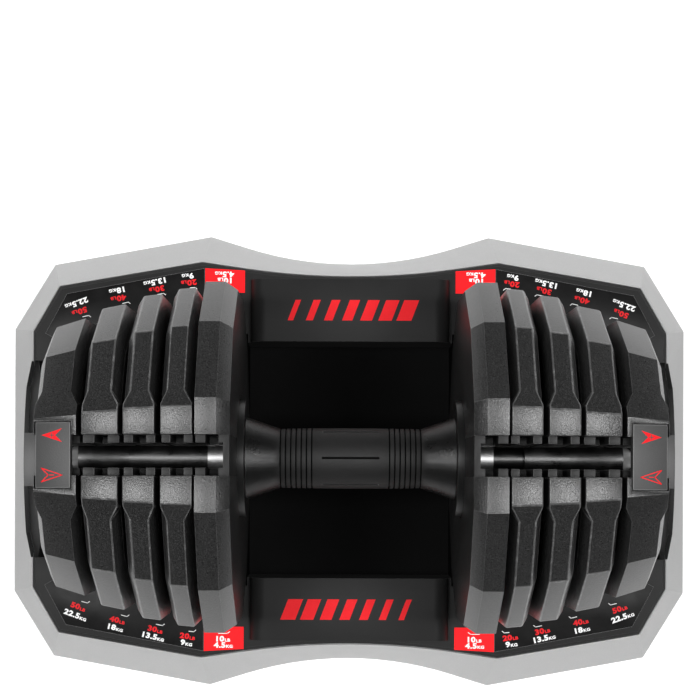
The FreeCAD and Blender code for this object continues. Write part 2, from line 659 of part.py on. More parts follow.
def index_ring(side):
    """A web with a deep rim; the lock tooth drops into the rim's notches."""
    body = new_body("index_ring_" + side, side)
    profile = new_sketch(body, "XY_Plane")
    add_loop(profile, [
        ("index_start", "sleeve_radius"), ("index_start", "index_radius"),
        ("index_start + index_cup", "index_radius"), ("index_start + index_cup", "index_inner"),
        ("index_start + index_web", "index_inner"), ("index_start + index_web", "sleeve_radius")])
    turned(body, profile)
    notch = new_sketch(body, "YZ_Plane", "index_start + index_web")
    add_box(notch, "-notch_width / 2", "notch_width / 2", "-notch_radius", "-index_inner + 1")
    cut = feature(body, "Pocket", notch, "index_cup", backwards=True)
    ring = body.newObject("PartDesign::PolarPattern", body.Name + "_notches")
    ring.Originals = [cut]
    ring.Axis = (plane_of(body, "X_Axis"), [""])
    ring.Angle = 360
    ring.Occurrences = NOTCHES
    body.Tip = ring
    return body


# ---------------------------------------------------------------- heads

def screw_holes(body, radius, start, length):
    """Four holes parallel to the axis, behind the slanting facets."""
    sketch = new_sketch(body, "YZ_Plane", start)
    for y, z in four_ways("head_screw_out * cos(30)", "head_screw_out * sin(30)"):
        add_circle(sketch, y, z, radius)
    feature(body, "Pocket", sketch, length, backwards=True)


def lock_shaft(body, radius, top, length):
    """A hole for the lock plunger, up from the head's bottom."""
    sketch = new_sketch(body, "XY_Plane", "-(%s)" % top)
    add_circle(sketch, "lock_place", "0", radius)
    feature(body, "Pocket", sketch, length)


def head_inner_cover(side):
    body = new_body("head_inner_cover_" + side, side)
    face = side_sketch(body, "head_inner", twelve_sided("head_nose", "head_nose_flat"))
    back = side_sketch(body, "head_split", twelve_sided("head_apothem", "head_flat"))
    loft(body, [face, back])
    hollow = side_sketch(body, "core_start - core_gap", core_outline("core_gap"))
    feature(body, "Pocket", hollow, "head_outer", backwards=True)
    slot = keyhole("slot_opening", "keyhole_radius", "head_apothem + 1")
    feature(body, "Pocket", side_sketch(body, "head_inner - 1", slot), "head_outer", backwards=True)
    inner_recess(body)
    screw_holes(body, "head_screw_radius + run_fit", "head_screw_start", "head_outer")
    tooth_window(body, "head_inner + 1", "-lock_top + 1", "head_outer")
    return body


def inner_recess(body):
    """Room for the index ring and for the end of the cam sleeve."""
    for radius, reach in (("dish_radius", "head_inner + dish_depth"), ("sleeve_room", "sleeve_room_end")):
        sketch = new_sketch(body, "YZ_Plane", reach)
        add_circle(sketch, "0", "0", radius)
        feature(body, "Pocket", sketch, "head_outer")


def tooth_window(body, start, top, depth):
    """Room for the lock tooth and its travel."""
    sketch = new_sketch(body, "YZ_Plane", start)
    side, low = "(tooth_half + 0.5)", "-(tooth_foot + lock_travel + 0.6)"
    add_box(sketch, minus(side), side, low, top)
    feature(body, "Pocket", sketch, depth, backwards=True)


def head_outer_cover(side):
    body = new_body("head_outer_cover_" + side, side)
    outline = twelve_sided("head_apothem", "head_flat")
    feature(body, "Pad", side_sketch(body, "head_split", outline), "head_outer - head_split")
    hollow = side_sketch(body, "core_end + core_gap", core_outline("core_gap"))
    feature(body, "Pocket", hollow, "head_outer")
    slot = side_sketch(body, "head_split", keyhole("slot_opening", "keyhole_radius", "head_apothem + 1"))
    feature(body, "Pocket", slot, "head_outer", backwards=True)
    screw_holes(body, "head_screw_radius + run_fit", "head_split", "head_outer")
    screw_holes(body, "head_screw_cap + free_fit", "head_screw_seat", "head_outer")
    lock_shaft(body, "lock_radius + free_fit", "core_apothem - 1", "head_apothem")
    return body


def head_weight(side):
    body = new_body("head_weight_" + side, side)
    feature(body, "Pad", side_sketch(body, "core_start", core_outline("0")), "core_end - core_start")
    lock_shaft(body, "lock_radius + free_fit", "0", "head_apothem")
    lock_shaft(body, "shoulder_radius + free_fit", "spring_seat", "head_apothem")
    tooth_window(body, "core_start", "-core_bore + 1", "lock_place - core_start")
    return body


def head_screws(side):
    body = new_body("head_screws_" + side, side)
    body.AllowCompound = True
    for start, end, radius in (("head_screw_start", "head_screw_seat", "head_screw_radius"),
                               ("head_screw_seat", "head_screw_end", "head_screw_cap")):
        sketch = new_sketch(body, "YZ_Plane", start)
        for y, z in four_ways("head_screw_out * cos(30)", "head_screw_out * sin(30)"):
            add_circle(sketch, y, z, radius)
        feature(body, "Pad", sketch, "%s - %s" % (end, start))
    return body


def head_slot_liner(side):
    body = new_body("head_slot_liner_" + side, side)
    outline = keyhole("slot_opening - liner_fit", "keyhole_radius - liner_fit", "head_apothem - liner_drop")
    start = "head_inner + liner_short"
    feature(body, "Pad", side_sketch(body, start, outline), "head_outer - head_inner - 2 * liner_short")
    neck = side_sketch(body, "head_neck_start", keyhole("neck_half", "tube_radius + 0.02", "head_apothem"))
    feature(body, "Pocket", neck, "head_outer", backwards=True)
    inner_recess(body)
    notch_liner(body, "lock_place", "head_apothem - liner_drop")
    lock_shaft(body, "lock_radius + free_fit", "0", "head_apothem")
    return body


def notch_liner(body, middle, top):
    """The dark notch across the tops of both legs."""
    sketch = new_sketch(body, "XZ_Plane")
    low, high = top + " - liner_notch_depth", top + " + 1"
    add_box(sketch, middle + " - liner_notch", middle + " + liner_notch", low, high)
    feature(body, "Pocket", sketch, "4 * slot_opening", both_ways=True)


# ---------------------------------------------------------------- bars and lock

def selector_bar(side):
    """A round bar whose inner end is a tongue: a rod on the right bar, a half shell over it on the left."""
    body = new_body("selector_bar_" + side, side, turn_axis=(0, 1, 0))
    sketch = new_sketch(body, "YZ_Plane", "lap_inner")
    add_circle(sketch, "0", "0", "bar_radius")
    feature(body, "Pad", sketch, "bar_reach - tip_length - lap_inner")
    if side == "right":
        sleeve = new_sketch(body, "YZ_Plane", "lap_outer")
        add_circle(sleeve, "0", "0", "bar_radius + 1")
        add_circle(sleeve, "0", "0", "rod_radius")
        feature(body, "Pocket", sleeve, "lap_outer")
    else:
        half = new_sketch(body, "XY_Plane")
        add_box(half, "0", "lap_outer", "-2 * bar_radius", "2 * bar_radius")
        feature(body, "Pocket", half, "2 * bar_radius", backwards=True)
        trough = new_sketch(body, "YZ_Plane", "lap_outer")
        add_circle(trough, "0", "0", "rod_radius + lap_gap")
        feature(body, "Pocket", trough, "lap_outer")
    socket = new_sketch(body, "YZ_Plane", "bar_reach - 2 * tip_length")
    add_circle(socket, "0", "0", "tip_spigot + run_fit")
    feature(body, "Pocket", socket, "2 * tip_length", backwards=True)
    hole = new_sketch(body, "XY_Plane", minus(pin_start(side)))
    add_circle(hole, "pin_place", "0", "pin_radius")
    feature(body, "Pocket", hole, "bar_radius")
    return body


def pin_start(side):
    return "pin_root" if side == "right" else "pin_root_left"


def bar_tip(side):
    body = new_body("bar_tip_" + side, side, turn_axis=(0, 1, 0))
    profile = new_sketch(body, "XY_Plane")
    base = "bar_reach - tip_length"
    add_loop(profile, [
        (base + " - tip_length", "0"), (base + " - tip_length", "tip_spigot"), (base, "tip_spigot"),
        (base, "bar_radius - 0.6"), ("bar_reach - 1", "tip_radius"), ("bar_reach", "tip_radius - 1"),
        ("bar_reach", "0")])
    turned(body, profile)
    return body


def follower_pin(side):
    body = new_body("follower_pin_" + side, side, turn_axis=(0, 1, 0))
    sketch = new_sketch(body, "XY_Plane", "-pin_reach")
    add_circle(sketch, "pin_place", "0", "pin_radius")
    feature(body, "Pad", sketch, "pin_reach - " + pin_start(side))
    return body


def lock_plunger(side):
    body = new_body("lock_plunger_" + side, side)
    for radius, low, high in (("lock_radius", "-lock_foot", "-lock_top"),
                              ("shoulder_radius", "-(shoulder_top + shoulder_thick)", "-shoulder_top")):
        sketch = new_sketch(body, "XY_Plane", low)
        add_circle(sketch, "lock_place", "0", radius)
        feature(body, "Pad", sketch, "%s - (%s)" % (high, low))
    tooth = new_sketch(body, "XY_Plane", "-tooth_foot")
    add_box(tooth, "tooth_start", "lock_place", "-tooth_half", "tooth_half")
    feature(body, "Pad", tooth, "tooth_foot - tooth_top")
    return body


def lock_spring(side):
    """A compression spring between the iron's step and the plunger's shoulder."""
    body = new_body("lock_spring_" + side, side)
    sketch = new_sketch(body, "XZ_Plane")
    add_circle(sketch, "spring_radius", "-(shoulder_top - spring_wire * 1.2)", "spring_wire")
    coil = body.newObject("PartDesign::AdditiveHelix", body.Name + "_coil")
    coil.Profile = sketch
    coil.ReferenceAxis = (plane_of(body, "Z_Axis"), [""])
    coil.Mode = "height-turns-angle"
    bind(coil, "Height", "shoulder_top - spring_seat - 2.4 * spring_wire")
    bind(coil, "Turns", "spring_turns")
    body.Tip = coil
    bind(body, "Placement.Base.x", "lock_place" if side == "right" else "-lock_place")
    return body


# ---------------------------------------------------------------- plates

def plate_cone(plate, at):
    """Centre to flat of a plate at the distance at along the axis."""
    return ("({p}_big + ({p}_small - {p}_big) * ({x} - {p}_hub_in) / ({p}_hub_out - {p}_hub_in))"
            .format(p=plate, x=at))


def face_recess(apothem):
    """The recess in a plate's face: inside the rim, and round the sides and foot of the thick band."""
    around = twelve_sided(apothem)
    shoulder = "(%s) - (hub_flare - (%s) * tan(15)) * tan(30)" % (apothem, apothem)
    right = [("hub_flare", "-hub_foot"), ("hub_flare", shoulder), around[1], around[0]]
    left = [("-hub_flare", shoulder), ("-hub_flare", "-hub_foot")]
    return right + around[:3:-1] + left


def weight_plate(plate, side):
    """A tapering twelve-sided plate with a thick band down its middle; beside the band the rim is bevelled
    and both faces are recessed."""
    body = new_body("weight_%s_%s" % (plate, side), side)
    inner, outer = plate + "_hub_in", plate + "_hub_out"
    loft(body, [side_sketch(body, inner, twelve_sided(plate + "_big")),
                side_sketch(body, outer, twelve_sided(plate + "_small"))])
    thin_in, thin_out = plate + "_thin_in", plate + "_thin_out"
    thinning = new_sketch(body, "XY_Plane")
    for sign in ("", "-"):
        for face, thin, beyond in ((inner, thin_in, "- 1"), (outer, thin_out, "+ 1")):
            add_loop(thinning, [
                ("%s %s" % (face, beyond), sign + "hub_half"), (face, sign + "hub_half"),
                (thin, sign + "hub_flare"), (thin, sign + "head_apothem"),
                ("%s %s" % (face, beyond), sign + "head_apothem")])
    feature(body, "Pocket", thinning, "3 * head_apothem", both_ways=True)
    rim = [(inner, plate + "_big - rim_slope"), (thin_in, plate_cone(plate, thin_in)),
           (thin_out, plate_cone(plate, thin_out)), (outer, plate + "_small - rim_bevel")]
    loft(body, [side_sketch(body, place, twelve_sided(size)) for place, size in rim])
    for start, end in ((inner + " - 1", thin_in), (thin_out, outer + " + 1")):
        recess = side_sketch(body, start, face_recess(plate + "_small - rim_width"))
        feature(body, "Pocket", recess, "%s - (%s)" % (end, start), backwards=True)
    slot = side_sketch(body, inner + " - 1", keyhole("slot_opening", "keyhole_radius", "head_apothem + 1"))
    feature(body, "Pocket", slot, "%s - %s + 2" % (outer, inner), backwards=True)
    if plate == "plate_50":
        recess = new_sketch(body, "XZ_Plane")
        add_loop(recess, cap_outline("cap_gap"))
        feature(body, "Pocket", recess, "2 * (cap_half + cap_gap)", both_ways=True)
    return body


def cap_outline(gap):
    """An end cap from the side; its top is the plate's own sloping flat."""
    left, right = "(cap_inner - %s)" % gap, "(cap_outer + 2 * %s)" % gap
    rise = "0" if gap == "0" else "3"
    points = []
    for x in (left, right):
        points.append((x, "%s + %s" % (plate_cone("plate_50", x), rise)))
    for x in (right, left):
        points.append((x, "%s - cap_thick - %s" % (plate_cone("plate_50", x), gap)))
    return points


def end_cap(side):
    body = new_body("end_cap_" + side, side)
    sketch = new_sketch(body, "XZ_Plane")
    add_loop(sketch, cap_outline("0"))
    feature(body, "Pad", sketch, "2 * cap_half", both_ways=True)
    return body


def slot_liner(plate, side):
    """A plastic lining of the keyhole that the selector bar slides through."""
    body = new_body("slot_liner_%s_%s" % (plate[-2:], side), side)
    inner, outer = plate + "_hub_in", plate + "_hub_out"
    top = plate + "_small - liner_drop"
    if plate == "plate_50":
        top = "(%s) - cap_thick - 1.5" % plate_cone(plate, "cap_outer")
    start = inner + " + liner_short"
    outline = keyhole("slot_opening - liner_fit", "keyhole_radius - liner_fit", top)
    feature(body, "Pad", side_sketch(body, start, outline), "%s - %s - 2 * liner_short" % (outer, inner))
    neck = side_sketch(body, inner, keyhole("neck_half", "bar_radius + free_fit", "head_apothem"))
    feature(body, "Pocket", neck, "%s - %s" % (outer, inner), backwards=True)
    notch_liner(body, "((%s + %s) / 2)" % (inner, outer), top)
    return body


# ---------------------------------------------------------------- assembly

tray_skirt()
tray_insert()
tray_feet()
tray_screws()
for end, sign_y in (("front", "-"), ("back", "")):
    for side, sign_x in (("left", "-"), ("right", "")):
        weight_label("weight_label_%s_%s" % (end, side), sign_x, sign_y)
start_labels()
guide_tube()
cam_sleeve()
grip_sleeve()
for side in SIDES:
    index_ring(side)
    head_inner_cover(side)
    head_outer_cover(side)
    head_weight(side)
    head_screws(side)
    head_slot_liner(side)
    selector_bar(side)
    bar_tip(side)
    follower_pin(side)
    lock_plunger(side)
    lock_spring(side)
    for plate in PLATES:
        weight_plate(plate, side)
        slot_liner(plate, side)
    end_cap(side)

doc.recompute()
faults = [item.Name for item in doc.Objects if {"Invalid", "Error"} & set(item.State)]
faults += [body.Label for body in pieces if body.Shape.isNull() or not body.Shape.isValid()]
if faults:
    raise SystemExit("failed: " + ", ".join(faults))
os.makedirs("parts", exist_ok=True)
for body in pieces:
    body.Shape.exportStep("parts/%s.step" % body.Label)
    print("%-28s %9.1f mm3  %d solid" % (body.Label, body.Shape.Volume, len(body.Shape.Solids)))
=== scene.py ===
import json
import math

import bmesh
import bpy
from mathutils import Matrix, Vector


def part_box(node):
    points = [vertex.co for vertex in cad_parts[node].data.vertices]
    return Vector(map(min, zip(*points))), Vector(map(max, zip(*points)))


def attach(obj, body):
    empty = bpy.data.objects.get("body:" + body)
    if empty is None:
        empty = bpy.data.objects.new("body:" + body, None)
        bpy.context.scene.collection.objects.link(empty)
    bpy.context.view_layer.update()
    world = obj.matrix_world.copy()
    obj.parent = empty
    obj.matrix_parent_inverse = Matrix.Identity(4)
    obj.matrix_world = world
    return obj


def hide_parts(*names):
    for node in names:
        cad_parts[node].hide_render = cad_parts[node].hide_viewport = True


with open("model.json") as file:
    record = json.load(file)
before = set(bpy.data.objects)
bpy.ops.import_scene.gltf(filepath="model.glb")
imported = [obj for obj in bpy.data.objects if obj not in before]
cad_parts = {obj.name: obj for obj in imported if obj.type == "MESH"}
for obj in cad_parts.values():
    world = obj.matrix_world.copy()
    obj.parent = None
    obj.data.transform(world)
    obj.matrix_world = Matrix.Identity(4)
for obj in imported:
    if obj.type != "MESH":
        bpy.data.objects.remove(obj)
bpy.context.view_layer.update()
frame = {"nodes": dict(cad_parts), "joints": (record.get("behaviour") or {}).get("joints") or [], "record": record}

MM = 0.001
SIDES = (("right", 1), ("left", -1))
PLATES = ("20", "30", "40", "50")
AXIS_HEIGHT = next(joint for joint in frame["joints"] if joint["name"] == "handle_twist")["pos_m"][2]
BODY_OF = {node: body for body, nodes in frame["record"]["behaviour"]["bodies"].items() for node in nodes}
SLOT_OF = {part["node"]: part["material_slot"] for part in frame["record"]["subparts"]}


# ---------------------------------------------------------------- materials

class Shader:
    """A node material with a Principled surface, built by naming nodes and linking sockets."""

    def __init__(self, name, **settings):
        self.material = bpy.data.materials.new(name)
        self.material.use_nodes = True
        self.tree = self.material.node_tree
        self.surface = self.tree.nodes["Principled BSDF"]
        self.place = self.add("ShaderNodeTexCoord").outputs["Object"]
        for key, value in settings.items():
            self.surface.inputs[key].default_value = value

    def add(self, kind, **inputs):
        node = self.tree.nodes.new(kind)
        for key, value in inputs.items():
            self.feed(node.inputs[key.replace("_", " ")], value)
        return node

    def feed(self, socket, value):
        if isinstance(value, bpy.types.NodeSocket):
            self.tree.links.new(value, socket)
        else:
            socket.default_value = value

    def set(self, key, value):
        self.feed(self.surface.inputs[key], value)

    def stretched(self, scale):
        """The object's own place, stretched along its axes."""
        return self.add("ShaderNodeMapping", Vector=self.place, Scale=scale).outputs["Vector"]

    def noise(self, size, detail=3.0, roughness=0.6, place=None):
        """Noise whose features are about size metres across."""
        made = self.add("ShaderNodeTexNoise", Vector=place or self.place, Scale=1 / size, Detail=detail,
                        Roughness=roughness)
        return made.outputs["Fac"]

    def spots(self, size):
        made = self.add("ShaderNodeTexVoronoi", Vector=self.place, Scale=1 / size)
        return made.outputs["Distance"]

    def range(self, value, low, high, start=0.3, end=0.7):
        """low where the value is at start, high where it is at end."""
        node = self.add("ShaderNodeMapRange", Value=value, From_Min=start, From_Max=end, To_Min=low,
                        To_Max=high)
        return node.outputs["Result"]

    def mix(self, factor, first, second):
        node = self.tree.nodes.new("ShaderNodeMix")
        node.data_type = "RGBA"
        self.feed(node.inputs["Factor"], factor)
        self.feed(node.inputs[6], first)
        self.feed(node.inputs[7], second)
        return node.outputs[2]

    def mul(self, first, second, operation="MULTIPLY"):
        """The product of the two values, or what another operation makes of them."""
        node = self.tree.nodes.new("ShaderNodeMath")
        node.operation = operation
        self.feed(node.inputs[0], first)
        self.feed(node.inputs[1], second)
        return node.outputs[0]

    def bump(self, height, depth, under=None):
        node = self.add("ShaderNodeBump", Height=height, Distance=depth)
        if under is not None:
            self.feed(node.inputs["Normal"], under)
        return node.outputs["Normal"]

    def edge(self):
        """1 on the rounded edges of a piece, 0 on its faces."""
        node = self.tree.nodes.new("ShaderNodeAttribute")
        node.attribute_name = "edge"
        return node.outputs["Fac"]


def grey(level):
    return (level, level, level, 1)


def coated_iron():
    """Charcoal powder coat over cast iron: fine sparkling grain, faint cloudiness, paler along the rounded edges,
    partly as worn coat and partly as a painted highlight.
    """
    shader = Shader("coated_iron")
    cloud = shader.noise(0.040, detail=3)
    grain = shader.noise(0.0007, detail=2)
    pebble = shader.spots(0.0010)
    base = shader.mix(shader.range(cloud, 0, 1), grey(0.010), grey(0.0125))
    base = shader.mix(shader.range(grain, 0, 0.8, 0.48, 0.68), base, grey(0.042))
    scuffs = shader.range(shader.noise(0.006, detail=5, roughness=0.75), 0, 1, 0.50, 0.72)
    # every rounded edge is paler: partly worn coat where the scuffs fall, partly a painted highlight along the
    # whole edge
    wear_and_edge_highlight = shader.mul(shader.edge(), shader.mul(scuffs, 0.35, "ADD"))
    shader.set("Base Color", shader.mix(wear_and_edge_highlight, base, grey(0.13)))
    shader.set("Roughness", shader.range(grain, 0.27, 0.36))
    shader.set("Specular IOR Level", 0.6)
    rough = shader.bump(pebble, 0.00003)
    shader.set("Normal", shader.bump(grain, 0.00013, rough))
    return shader.material


def moulded_plastic(name, dark, light, roughness, depth=0.00003, painted_edge_highlight=None, specular=0.5):
    """Moulded plastic with a spark-eroded grain, slight cloudiness and, where given, a painted highlight on its
    rounded edges.
    """
    shader = Shader(name)
    cloud = shader.noise(0.05, detail=3)
    fine = shader.noise(0.0007, detail=2)
    base = shader.mix(shader.range(cloud, 0, 1), grey(dark), grey(light))
    base = shader.mix(shader.range(fine, 0, 0.25, 0.5, 0.8), base, grey(light * 1.6))
    if painted_edge_highlight is not None:
        # painted highlight: the rounded edges paler than the faces
        base = shader.mix(shader.mul(shader.edge(), 0.7), base, grey(painted_edge_highlight))
    shader.set("Base Color", base)
    shader.set("Roughness", shader.range(cloud, roughness - 0.04, roughness + 0.05))
    shader.set("Specular IOR Level", specular)
    shader.set("Normal", shader.bump(fine, depth))
    return shader.material


def rubber(name, polished_from=1.0):
    """Moulded rubber: matt, finely grained, a little dusty, polished by use beyond a distance along X."""
    shader = Shader(name)
    cloud = shader.noise(0.02, detail=4)
    fine = shader.noise(0.0005, detail=2)
    dust = shader.range(shader.noise(0.004, detail=6, roughness=0.8), 0, 1, 0.55, 0.8)
    base = shader.mix(shader.range(cloud, 0, 1), grey(0.005), grey(0.008))
    shader.set("Base Color", shader.mix(shader.mul(dust, 0.2), base, grey(0.03)))
    across = shader.add("ShaderNodeSeparateXYZ", Vector=shader.place).outputs["X"]
    along = shader.mul(across, 0, "ABSOLUTE")
    polish = shader.range(along, 0, 0.30, polished_from, polished_from + 0.004)
    shader.set("Roughness", shader.mul(shader.range(cloud, 0.54, 0.64), polish, "SUBTRACT"))
    shader.set("Specular IOR Level", 0.36)
    shader.set("Normal", shader.bump(fine, 0.00015))
    return shader.material


def drawn_steel(name, shade, roughness):
    """Steel with fine scratches along X and some dull patches."""
    shader = Shader(name, Metallic=1.0)
    streaks = shader.noise(0.0006, detail=4, place=shader.stretched((0.03, 1, 1)))
    patches = shader.noise(0.008, detail=5, roughness=0.7)
    shader.set("Base Color", shader.mix(shader.range(patches, 0, 1), grey(shade * 0.75), grey(shade)))
    worn = shader.range(patches, roughness - 0.06, roughness + 0.1)
    shader.set("Roughness", shader.mul(worn, shader.range(streaks, -0.05, 0.08), "ADD"))
    shader.set("Normal", shader.bump(streaks, 0.00002, shader.bump(patches, 0.00006)))
    return shader.material


def plain_steel(name, shade, roughness):
    """Plated steel: even, with a faint mottle."""
    shader = Shader(name, Metallic=1.0)
    mottle = shader.noise(0.002, detail=5)
    shader.set("Base Color", shader.mix(shader.range(mottle, 0, 1), grey(shade * 0.85), grey(shade)))
    shader.set("Roughness", shader.range(mottle, roughness - 0.05, roughness + 0.08))
    shader.set("Normal", shader.bump(mottle, 0.00002))
    return shader.material


def rough_iron(name):
    """Bare casting: sandy surface."""
    shader = Shader(name, Metallic=0.6)
    sand = shader.noise(0.0012, detail=4)
    shader.set("Base Color", shader.mix(shader.range(sand, 0, 1), grey(0.05), grey(0.12)))
    shader.set("Roughness", shader.range(sand, 0.6, 0.8))
    shader.set("Normal", shader.bump(sand, 0.0001))
    return shader.material


def printed(name, colour, darker, roughness=0.30, painted_edge_highlight=None):
    """Printed film: smooth, with faint handling marks and, on a label, a painted highlight along the cut edge."""
    shader = Shader(name, **{"Specular IOR Level": 0.10})
    smudge = shader.noise(0.012, detail=5, roughness=0.7)
    base = shader.mix(shader.range(smudge, 0, 1), colour, darker)
    if painted_edge_highlight is not None:
        # painted highlight along the label's rounded cut edge
        base = shader.mix(shader.edge(), base, grey(painted_edge_highlight))
    shader.set("Base Color", base)
    shader.set("Roughness", shader.range(smudge, roughness, roughness + 0.14))
    shader.set("Normal", shader.bump(shader.noise(0.003), 0.00001))
    return shader.material


MATERIALS = {
    "plate_coat": coated_iron(),
    "head_coat": coated_iron(),
    "tray_grey": moulded_plastic("tray_grey", 0.35, 0.385, 0.50, depth=0.00002),
    # the edge shades given to tray_black, black_plastic, ring_plastic, cap_plastic and label_black are painted
    # highlights on their rounded edges
    "tray_black": moulded_plastic("tray_black", 0.010, 0.014, 0.48, painted_edge_highlight=0.09, specular=0.17),
    "black_plastic": moulded_plastic("black_plastic", 0.008, 0.012, 0.42, painted_edge_highlight=0.07, specular=0.22),
    "ring_plastic": moulded_plastic("ring_plastic", 0.008, 0.011, 0.34, depth=0.00001, painted_edge_highlight=0.04,
                                    specular=0.3),
    "cap_plastic": moulded_plastic("cap_plastic", 0.034, 0.050, 0.50, depth=0.0001, painted_edge_highlight=0.16),
    "foot_rubber": rubber("foot_rubber"),
    "grip_rubber": rubber("grip_rubber", 0.041),
    "bar_steel": drawn_steel("bar_steel", 0.10, 0.32),
    "tip_steel": plain_steel("tip_steel", 0.34, 0.45),
    "zinc_steel": plain_steel("zinc_steel", 0.45, 0.35),
    "spring_steel": plain_steel("spring_steel", 0.5, 0.25),
    "bare_iron": rough_iron("bare_iron"),
    "label_black": printed("label_black", grey(0.006), grey(0.010), painted_edge_highlight=0.22),
    "label_red": printed("label_red", (1.0, 0.008, 0.013, 1), (0.94, 0.007, 0.012, 1)),
}
# painted shade for the insert down in the tray's bay and wells
TRAY_PAINTED_SHADE = moulded_plastic("tray_painted_shade", 0.0010, 0.0020, 0.6, specular=0.04)
# painted highlight: the insert's tongues made paler than the insert's black
TONGUE_PAINTED_LIGHT = moulded_plastic("tongue_painted_light", 0.036, 0.046, 0.45, painted_edge_highlight=0.12)
# painted highlight on the floors of the grip's side slots
SLOT_PAINTED_LIGHT = moulded_plastic("slot_painted_light", 0.09, 0.12, 0.5)
# painted shade in the grip's ring grooves and top slot
GROOVE_PAINTED_SHADE = moulded_plastic("groove_painted_shade", 0.0015, 0.0025, 0.7, specular=0.05)
RED_INK = printed("red_ink", (0.80, 0.012, 0.018, 1), (0.72, 0.010, 0.016, 1), 0.35)
WHITE_INK = printed("white_ink", grey(0.90), grey(0.84), 0.35)


# ---------------------------------------------------------------- pieces

def finish_piece(piece, node, material=None):
    """Puts a new piece on its CAD node's body and takes the node's finish."""
    slot = SLOT_OF[node]
    piece.data.materials.clear()
    piece.data.materials.append(material or MATERIALS[slot])
    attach(piece, BODY_OF[node])
    return piece


def new_piece(name, mesh):
    data = bpy.data.meshes.new(name)
    mesh.to_mesh(data)
    mesh.free()
    piece = bpy.data.objects.new(name, data)
    bpy.context.scene.collection.objects.link(piece)
    return piece


CREASE = math.radians(32)
SHARP = math.radians(20)
FLAT = math.radians(0.6)
WELD = 2e-6
ROUNDING_STEPS = 3


def soften(mesh):
    """Smooth shading, with a crease wherever two faces meet at a large angle."""
    for face in mesh.faces:
        face.smooth = True
    for edge in mesh.edges:
        edge.smooth = len(edge.link_faces) == 2 and edge.calc_face_angle(math.pi) < CREASE


def rounded(node, radius):
    """The CAD node's own shape with its sharp edges rounded; it takes the node's place."""
    mesh = bmesh.new()
    mesh.from_mesh(frame["nodes"][node].data)
    layer = mesh.faces.layers.float.new("edge")
    bmesh.ops.remove_doubles(mesh, verts=mesh.verts, dist=WELD)
    bmesh.ops.dissolve_limit(mesh, angle_limit=FLAT, verts=mesh.verts, edges=mesh.edges)
    if node == "tray_skirt":
        bmesh.ops.connect_verts_concave(mesh, faces=mesh.faces)
    sharp = [edge for edge in mesh.edges if len(edge.link_faces) == 2 and edge.calc_face_angle(0) > SHARP]
    done = bmesh.ops.bevel(mesh, geom=sharp, offset=radius, segments=ROUNDING_STEPS, profile=0.5,
                           affect="EDGES", clamp_overlap=True)
    for face in done["faces"]:
        face[layer] = 1.0
    soften(mesh)
    piece = new_piece(node + "_surface", mesh)
    finish_piece(piece, node)
    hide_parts(node)
    return piece


# radius on the sharp edges of each visible CAD node, in millimetres
ROUNDING = {"tray_skirt": 0.35, "tray_insert": 0.5, "grip_sleeve": 0.15}
for side, _ in SIDES:
    ROUNDING["weight_label_front_" + side] = 0.12
    ROUNDING["weight_label_back_" + side] = 0.12
    ROUNDING["head_inner_cover_" + side] = 0.8
    ROUNDING["head_outer_cover_" + side] = 1.1
    ROUNDING["head_slot_liner_" + side] = 0.4
    ROUNDING["index_ring_" + side] = 0.05
    ROUNDING["end_cap_" + side] = 0.5
    for plate in PLATES:
        ROUNDING["weight_plate_%s_%s" % (plate, side)] = 0.8
        ROUNDING["slot_liner_%s_%s" % (plate, side)] = 0.4

surfaces = {}
for node, part in frame["nodes"].items():
    if node in ROUNDING:
        surfaces[node] = rounded(node, ROUNDING[node] * MM)
    else:
        part.data.materials.clear()
        part.data.materials.append(MATERIALS[SLOT_OF[node]])


LABEL_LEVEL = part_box("weight_label_front_right")[1][2]
WELL_LEVEL = LABEL_LEVEL - 5 * MM
# the two tongues, which get a painted highlight, and the tray's end lips, which stay out of the painted shade of
# the wells
TONGUE_FROM, TONGUE_HALF, TONGUE_FLOOR = 196 * MM, 18 * MM, 25 * MM
LIP_FROM, LIP_FLOOR = 180 * MM, 22 * MM
# the skirt's edge in the finger notches
NOTCH_FROM, NOTCH_LOW, NOTCH_HIGH = 190 * MM, 20 * MM, 43 * MM
# the grip's ring grooves, and its slots: one is on top, within TOP_SLOT_HALF of the middle line
RINGS_FROM, RINGS_TO, GROOVE_RADIUS = 20 * MM, 43 * MM, 17.45 * MM
SLOT_INNER_RADIUS, TOP_SLOT_HALF = 16 * MM, 6 * MM


def paint_well_shade_and_tongue_light(piece):
    """Down in the tray's bay and wells the insert gets painted shade, matt and darker than on top; its tongues get
    a painted highlight, paler than the rest.
    """
    piece.data.materials.append(TRAY_PAINTED_SHADE)
    piece.data.materials.append(TONGUE_PAINTED_LIGHT)
    for face in piece.data.polygons:
        x, y, z = face.center
        tongue_painted_light = abs(x) > TONGUE_FROM and abs(y) < TONGUE_HALF and z > TONGUE_FLOOR
        lip = face.normal.z > 0.3 and abs(x) > LIP_FROM and z > LIP_FLOOR
        if tongue_painted_light:
            face.material_index = 2
        elif z < WELL_LEVEL and not lip:
            face.material_index = 1


def edge_notches(piece):
    """The skirt's edge in the two finger notches has the insert's colour."""
    piece.data.materials.append(MATERIALS["tray_black"])
    for face in piece.data.polygons:
        faces_up = face.normal.z > 0.7
        if faces_up and abs(face.center.x) > NOTCH_FROM and NOTCH_LOW < face.center.z < NOTCH_HIGH:
            face.material_index = 1


